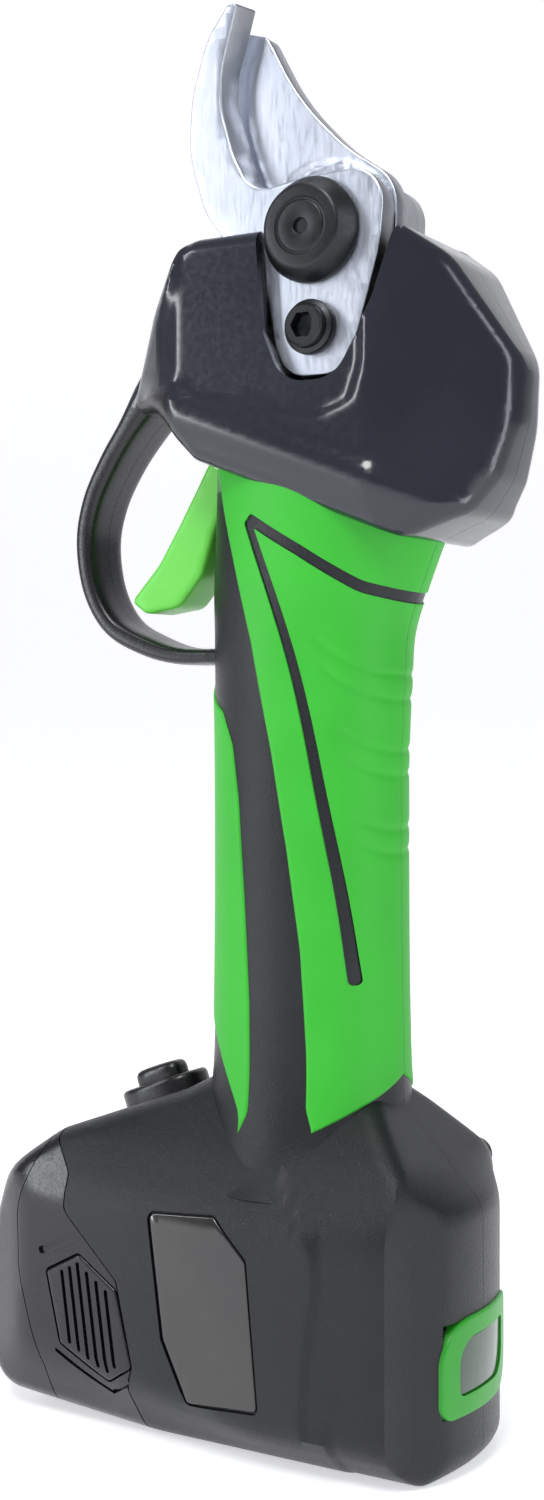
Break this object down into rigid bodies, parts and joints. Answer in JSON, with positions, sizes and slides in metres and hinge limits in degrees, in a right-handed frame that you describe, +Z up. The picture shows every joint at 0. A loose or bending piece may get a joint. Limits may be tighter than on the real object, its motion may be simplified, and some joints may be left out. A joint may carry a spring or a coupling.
{
  "type": "battery electric pruner",
  "caption": "Cordless pistol-grip pruning shears: hooked fixed blade, swinging cutting blade, finger guard and trigger, soft-grip handle and slide-out battery base.",
  "frame": {"origin": "on the flat underside of the base, directly below the handle's axis", "axes": "+X towards the trigger and the battery's nose, +Y towards the left housing half (the pivot nut's side), +Z up along the handle to the blades"},
  "size_m": [0.1166, 0.055, 0.2783],
  "materials": {
    "housing": "black glass-filled nylon, satin",
    "grip": "bright green soft-touch TPU",
    "blade_steel": "ground and brushed tool steel",
    "black_steel": "black oxide steel",
    "steel": "turned steel",
    "bronze": "sintered bronze",
    "aluminium": "die-cast and machined",
    "magnet": "nickel-plated magnet",
    "copper": "enamelled copper",
    "board": "green circuit board",
    "trigger": "bright green plastic",
    "switch_rubber": "black rubber",
    "button": "glossy black plastic",
    "black_plastic": "black plastic",
    "bezel": "bright green plastic",
    "lens": "grey-green display window",
    "battery_shell": "black battery shell",
    "cell": "shrink-wrapped steel cell",
    "wire": "insulated wire"
  },
  "bodies": {
    "tool": {"left_housing": "housing", "right_housing": "housing", "left_side_grip": "grip", "right_side_grip": "grip", "left_front_grip": "grip", "right_front_grip": "grip", "fixed_blade": "blade_steel", "thrust_washer": "steel", "pivot_bolt": "black_steel", "pivot_nut": "black_steel", "blade_lock_screw": "black_steel", "gear_frame": "aluminium", "ring_gear": "steel", "pinion_bearings": "steel", "motor_bearings": "steel", "motor_can": "steel", "motor_face_plate": "aluminium", "motor_end_cap": "black_plastic", "stator_core": "steel", "stator_windings": "copper", "trigger_pin": "steel", "trigger_board": "board", "trigger_spring": "steel", "switch_boot": "switch_rubber", "switch_body": "black_plastic", "display_bezel": "bezel", "display_lens": "lens", "display_module": "black_plastic", "display_board": "board", "control_board": "board", "board_components": "black_plastic", "terminal_block": "black_plastic", "motor_wires": "wire", "trigger_wire": "wire", "housing_screws": "black_steel", "frame_screws": "steel"},
    "moving_blade": {"moving_blade": "blade_steel", "blade_dowels": "steel", "pivot_bush": "bronze", "sector_gear": "steel"},
    "pinion": {"bevel_pinion": "steel", "planet_carrier": "steel"},
    "planet_1": {"planet_gear_1": "steel"},
    "planet_2": {"planet_gear_2": "steel"},
    "planet_3": {"planet_gear_3": "steel"},
    "rotor": {"sun_gear": "steel", "rotor_magnet": "magnet", "motor_shaft": "steel"},
    "trigger": {"trigger": "trigger", "trigger_magnet": "magnet"},
    "power_button": {"power_button": "button"},
    "battery": {"battery_case": "battery_shell", "battery_cap": "battery_shell", "battery_cells": "cell", "cell_frames": "black_plastic", "protection_board": "board", "release_springs": "steel"},
    "left_release": {"left_release_pad": "battery_shell"},
    "right_release": {"right_release_pad": "battery_shell"}
  },
  "joints": [
    {"name": "blade_swing", "type": "hinge", "parent": "tool", "child": "moving_blade", "pos_m": [-0.0082, 0, 0.2324], "axis": [0, -1, 0], "range_deg": [0, 55]},
    {"name": "pinion_spin", "type": "hinge", "parent": "tool", "child": "pinion", "pos_m": [-0.0082, 0, 0.2324], "axis": [-0.0976, 0, 0.9952], "range_deg": [-198.5, 0.5]},
    {"name": "rotor_spin", "type": "hinge", "parent": "tool", "child": "rotor", "pos_m": [-0.0082, 0, 0.2324], "axis": [-0.0976, 0, 0.9952], "range_deg": [-892, 1]},
    {"name": "planet_1_spin", "type": "hinge", "parent": "pinion", "child": "planet_1", "pos_m": [0.00301, 0, 0.18728], "axis": [-0.0976, 0, 0.9952], "range_deg": [-1, 555.4]},
    {"name": "planet_2_spin", "type": "hinge", "parent": "pinion", "child": "planet_2", "pos_m": [-0.00707, 0.00585, 0.18629], "axis": [-0.0976, 0, 0.9952], "range_deg": [-1, 555.4]},
    {"name": "planet_3_spin", "type": "hinge", "parent": "pinion", "child": "planet_3", "pos_m": [-0.00707, -0.00585, 0.18629], "axis": [-0.0976, 0, 0.9952], "range_deg": [-1, 555.4]},
    {"name": "trigger_pull", "type": "hinge", "parent": "tool", "child": "trigger", "pos_m": [0.0162, 0, 0.191], "axis": [0, 1, 0], "range_deg": [0, 12], "stiffness_Nm_per_rad": 0.15, "springref_deg": -11.46, "deforming": ["trigger_spring"]},
    {"name": "power_press", "type": "slide", "parent": "tool", "child": "power_button", "axis": [-0.3453, 0, -0.9385], "range_m": [0, 0.0012], "stiffness_N_per_m": 600, "springref_m": -0.0008},
    {"name": "battery_slide", "type": "slide", "parent": "tool", "child": "battery", "axis": [1, 0, 0], "range_m": [0, 0.06]},
    {"name": "left_release_press", "type": "slide", "parent": "battery", "child": "left_release", "axis": [0, -1, 0], "range_m": [0, 0.0015], "stiffness_N_per_m": 800, "springref_m": -0.001, "deforming": ["release_springs"]},
    {"name": "right_release_press", "type": "slide", "parent": "battery", "child": "right_release", "axis": [0, 1, 0], "range_m": [0, 0.0015], "stiffness_N_per_m": 800, "springref_m": -0.001}
  ],
  "couplings": [
    {"joint": "pinion_spin", "follows": "blade_swing", "ratio": -3.6},
    {"joint": "rotor_spin", "follows": "blade_swing", "ratio": -16.2},
    {"joint": "planet_1_spin", "follows": "blade_swing", "ratio": 10.08},
    {"joint": "planet_2_spin", "follows": "blade_swing", "ratio": 10.08},
    {"joint": "planet_3_spin", "follows": "blade_swing", "ratio": 10.08}
  ]
}
